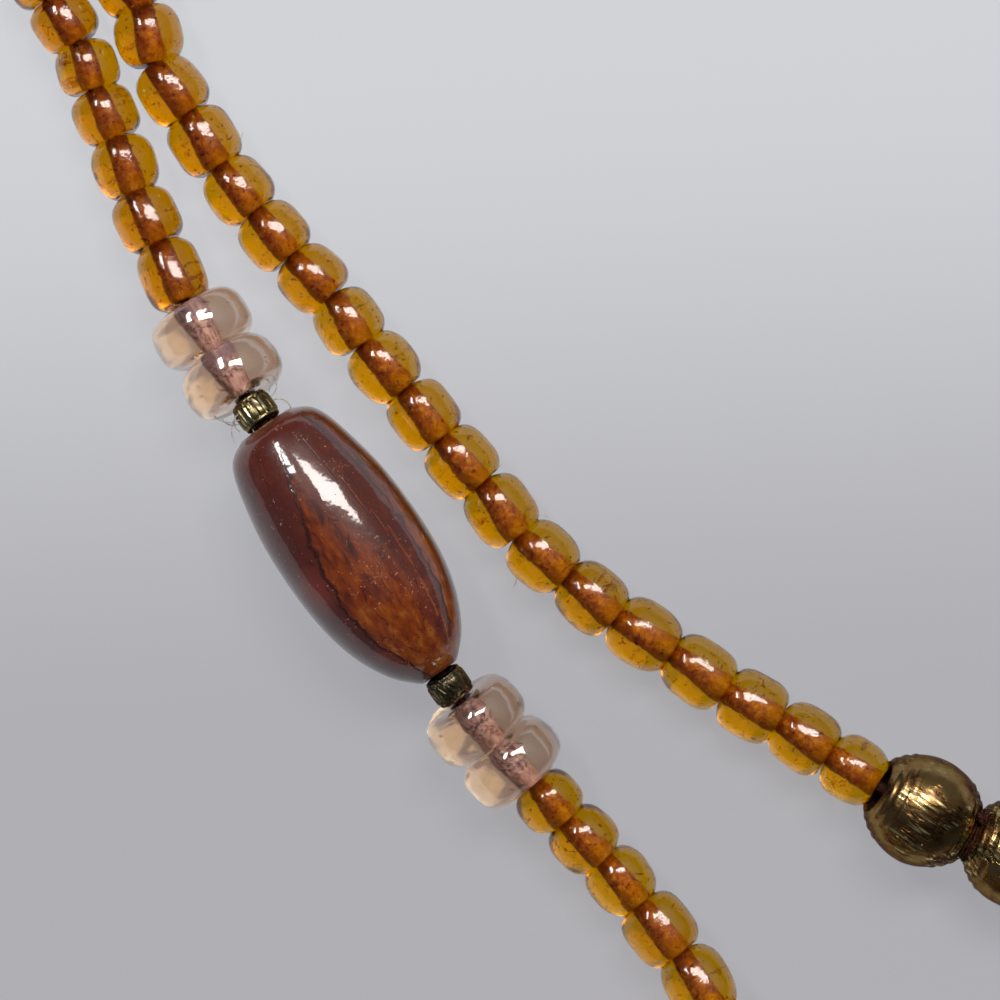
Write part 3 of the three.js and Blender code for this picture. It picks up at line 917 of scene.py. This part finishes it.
def makeOldBrass(name, dark, brown, olive, bright, roughness):
    # cast brass, oxidised: olive brown patina, and gold where it is rubbed or scratched through
    material, add, place = newMaterial(name)
    cloud = add("TexNoise", {"Scale": 430, "Detail": 6, "Roughness": 0.66}, place)
    patina = add("ValToRGB", {"stops": [[0.36, dark], [0.48, brown], [0.60, olive]]}, cloud)
    # scratches in patches, all one way, 0.12 mm wide and about 2 mm long
    lined = add("VectorRotate", {"rotation_type": "Z_AXIS", "Angle": 0.62}, place)
    stretched = add("Mapping", {"Scale": (500, 4200, 2600)}, lined)
    marks = add("TexNoise", {"Scale": 1, "Detail": 2, "Roughness": 0.5, "Distortion": 0.2}, stretched)
    patch = add("TexNoise", {"Scale": 330, "Detail": 1}, place)
    here = add("MapRange", {"From Min": 0.47, "From Max": 0.56}, patch)
    deepMarks = add("MapRange", {"From Min": 0.46, "From Max": 0.38}, marks)
    brightMarks = add("MapRange", {"From Min": 0.58, "From Max": 0.66}, marks)
    deepHere = add("Math", {"operation": "MULTIPLY"}, {0: deepMarks, 1: here})
    brightHere = add("Math", {"operation": "MULTIPLY"}, {0: brightMarks, 1: here})
    scored = add("Mix", {7: dark}, {0: deepHere, 6: patina})
    colour = add("Mix", {7: bright}, {0: brightHere, 6: scored})
    rough = add("MapRange", {"From Min": 0.35, "From Max": 0.65, "To Min": roughness + 0.12,
                             "To Max": roughness - 0.06}, cloud)
    cloudBump = add("Bump", {"Strength": 0.6, "Distance": 0.09 * mm}, {"Height": cloud})
    bump = add("Bump", {"Strength": 0.8, "Distance": 0.06 * mm, "invert": True},
               {"Height": deepHere, "Normal": cloudBump})
    surface = add("BsdfPrincipled",
                  {"Metallic": 1.0, "Specular Tint": toLinear("#84704e"), "Coat Weight": 0.22,
                   "Coat Roughness": 0.12}, {"Base Color": colour, "Roughness": rough, "Normal": bump})
    add("OutputMaterial", None, {"Surface": surface})
    return material


antiqueBrass = makeOldBrass("brass, cast and antiqued", "#4e3822", "#8e6e44", "#a28c5a", "#f0eaa8", 0.23)
rubbedBrass = makeOldBrass("brass, stamped and rubbed", "#463c28", "#8a7e5a", "#b0a67e", "#e8e0c0", 0.24)
smoothBrass = makeOldBrass("brass, turned and darkened", "#3a3226", "#665c46", "#7c725a", "#a49a7c", 0.22)


# Half of the section, from the middle to one end: a round flank, then turned ridges to the mouth
def brassSide():
    radius, end = radii["brass"], brass["endRadius"]
    half = lengths["brass"] / 2
    cut = math.asin(end / radius)    # where the round flank would reach the end face
    count = brass["flankRings"]
    side = []
    for i in range(count):
        angle = math.pi / 2 - (math.pi / 2 - cut) * i / (count - 1)
        along = half * math.cos(angle) / math.cos(cut)
        r = radius * math.sin(angle)
        share = 1 - (count - 1 - i) / brass["ridgedRings"]
        if share > 0:
            r += math.sin(share * brass["ridges"] * math.tau) * brass["ridgeHeight"]
        side.append((r, along))
    mouth, depth, bore = brass["mouthRadius"], brass["mouthDepth"], brass["boreRadius"]
    return side + [(end - 0.12, half + 0.04), (mouth + 0.08, half - 0.03), (mouth, half - 0.2),
                   (mouth * 0.95, half - depth * 0.7), (bore * 1.2, half - depth),
                   (bore, half - depth - 0.3)]


def makeMouthOxide():
    # soot-black oxide left inside the mouths by the antiquing bath, quite matt
    material, add, place = newMaterial("brass, blackened oxide")
    cloud = add("TexNoise", {"Scale": 1600, "Detail": 3}, place)
    colour = add("ValToRGB", {"stops": [[0.4, "#0e0705"], [0.7, "#2c150c"]]}, cloud)
    surface = add("BsdfPrincipled", {"Roughness": 0.8, "Specular IOR Level": 0.2}, {"Base Color": colour})
    add("OutputMaterial", None, {"Surface": surface})
    return material


mouthOxide = makeMouthOxide()


def makeBrassBead(name):
    side = brassSide()
    rings = [(r, -along) for r, along in reversed(side)] + side[1:]
    obj = turnedBody(name + "Round", rings, brass["steps"])
    useMaterials(obj, antiqueBrass, mouthOxide)
    lineHole(obj, brass["mouthRadius"] * 1.01)
    middle, forward = placeOf[name]
    if name == "brass_bead_1":
        forward = forward.normalized() + up * math.tan(math.radians(brass["tilt"]))
    obj.data.transform(facing(middle, forward, random.uniform(0, math.tau)))
    makeUneven(obj, brass["dent"], brass["dentSize"])
    finishPiece(obj, "antique_brass", name)


for number in (1, 2, 3, 4):
    makeBrassBead("brass_bead_%d" % number)

spacer = {"flutes": 16, "fluteDepth": 0.18, "boreRadius": 0.8, "steps": 140, "rim": 0.34, "reach": 0.1}


def makeSpacer(name, depth, metal):
    half = lengths["spacer"] / 2 + spacer["reach"]
    radius = radii["spacer"]
    bore, rim = spacer["boreRadius"], spacer["rim"]
    near = [(bore, -half + 0.15), (bore + 0.12, -half), (radius - 0.30, -half),
            (radius - 0.16, -half + 0.06), (radius - 0.12, -half + rim * 0.5),
            (radius - 0.16, -half + rim * 0.85)]
    ribs = [(radius - 0.10, -half + rim), (radius - 0.02, -half + rim + 0.12), (radius, -0.25),
            (radius, 0.25), (radius - 0.02, half - rim - 0.12), (radius - 0.10, half - rim)]
    far = [(r, -along) for r, along in reversed(near)]
    obj = turnedBody(name + "Fluted", near + ribs + far, spacer["steps"])
    useMaterials(obj, metal)
    for vertex in obj.data.vertices:
        flat = Vector(vertex.co[:2])
        if abs(vertex.co.z) < (half - rim + 0.01) * mm and flat.length > (radius - 0.11) * mm:
            valley = (0.5 - 0.5 * math.cos(math.atan2(flat.y, flat.x) * spacer["flutes"])) ** 14
            share = 1 - depth * valley / radius
            vertex.co.x *= share
            vertex.co.y *= share
    middle, forward = placeOf[name]
    obj.data.transform(facing(middle, forward, random.uniform(0, math.tau)))
    finishPiece(obj, "antique_brass", name)


# the lower spacer is worn nearly smooth
makeSpacer("spacer_1", spacer["fluteDepth"], rubbedBrass)
makeSpacer("spacer_2", spacer["fluteDepth"] * 0.06, smoothBrass)

strandRadii = {"thread": 0.45, "tuft": 0.07, "wisp": 0.05, "hair": 0.03}
fibre = {"steps": 6, "droop": 0.25}

# Loose ends and fibres: start in mm from the picture's middle and above the floor, direction, length, curl
spacerWisps = [
    (-19.0, 7.0, 6.6, 200, 3.4, 110), (-19.2, 6.6, 6.4, 225, 3.0, -100), (-19.3, 6.9, 6.2, 190, 2.4, 150),
    (-19.5, 6.3, 6.0, 240, 2.2, -140), (-18.9, 6.4, 6.5, 258, 2.6, 120), (-19.0, 6.8, 6.8, 214, 2.0, 200),
    (-17.4, 7.9, 6.4, 48, 2.2, 120), (-17.3, 7.6, 6.2, 20, 1.8, -110), (-17.6, 8.2, 6.3, 75, 1.7, 90),
]
frontHairs = [
    (-0.4, 2.4, 3.2, 15, 0.9, 60), (2.9, -1.3, 3.2, 25, 0.8, -60), (0.9, -4.2, 3.0, 250, 1.0, 50),
    (1.2, -5.6, 2.9, 285, 1.2, -60), (13.6, -11.0, 3.0, 60, 0.8, 70), (-7.6, 9.4, 3.2, 40, 0.7, -70),
    (-20.2, 27.6, 3.2, 30, 0.8, 60), (5.2, -3.6, 3.2, 70, 0.6, -50),
]
knotHairs = [
    (36.3, -23.6, 6.0, 80, 1.2, 60), (36.8, -23.9, 6.2, 40, 1.0, -70), (36.0, -24.0, 6.1, 120, 0.9, 50),
    (36.2, -26.6, 5.4, 260, 1.1, 70), (36.6, -26.9, 5.2, 300, 0.9, -60),
]


def fibreTubes(name, chart, radius):
    tubes = []
    steps = fibre["steps"]
    for x, y, z, direction, length, curl in chart:
        points = []
        place = Vector((x, y, z))
        for step in range(steps + 1):
            angle = math.radians(direction + curl * step / steps)
            points.append(place.copy())
            place += Vector((math.cos(angle), math.sin(angle), -fibre["droop"])) * length / steps
        tubes.append(threadTube(name, points, radius, 4))
    return tubes


knot = {"radius": 1.75, "turns": 4.5, "thread": 0.15, "spread": 0.30, "steps": 110, "loose": 0.22,
        "tuft": (36.8, -24.2, 6.2), "tuftRadius": 0.80, "tuftSteps": 90}


# Thread wound round the joint between the front brass beads, with a matted tuft on top
def makeKnot():
    middle, forward = joints["front"][1], (joints["front"][2] - joints["front"][0]).normalized()
    aside = up.cross(forward).normalized()
    points = []
    for i in range(knot["steps"] + 1):
        angle = math.tau * knot["turns"] * i / knot["steps"]
        radius = knot["radius"] + random.uniform(-1, 1) * knot["loose"]
        along = knot["spread"] * (2 * i / knot["steps"] - 1) + random.uniform(-0.05, 0.05)
        points.append(middle + forward * along + (aside * math.cos(angle) + up * math.sin(angle)) * radius)
    matted = []
    for i in range(knot["tuftSteps"]):
        way = Vector([random.gauss(0, 1) for k in range(3)]).normalized()
        matted.append(Vector(knot["tuft"]) + way * knot["tuftRadius"] * random.uniform(0.5, 1))
    wound = threadTube("frontKnot", points, knot["thread"], 8)
    return joined(wound, threadTube("tuft", matted, strandRadii["tuft"], 4))


hairs = joined(*fibreTubes("jointHair", frontHairs, strandRadii["hair"]))
useMaterials(hairs, frayedFibre)
finishPiece(hairs, "thread", "amber_string_front")

threadNodes = {"station": "thread_station", "front": "thread_brass_front", "back": "thread_brass_back"}
for key, name in threadNodes.items():
    tube = threadTube(name + "Ply", joints[key], strandRadii["thread"], 8)
    if key == "front":
        tube = joined(tube, makeKnot(), *fibreTubes("knotHair", knotHairs, strandRadii["wisp"]))
    useMaterials(tube, spunThread)
    if key == "station":
        wisps = joined(*fibreTubes("wisp", spacerWisps, strandRadii["wisp"]))
        useMaterials(wisps, frayedFibre)
        tube = joined(tube, wisps)
    finishPiece(tube, "thread", name)
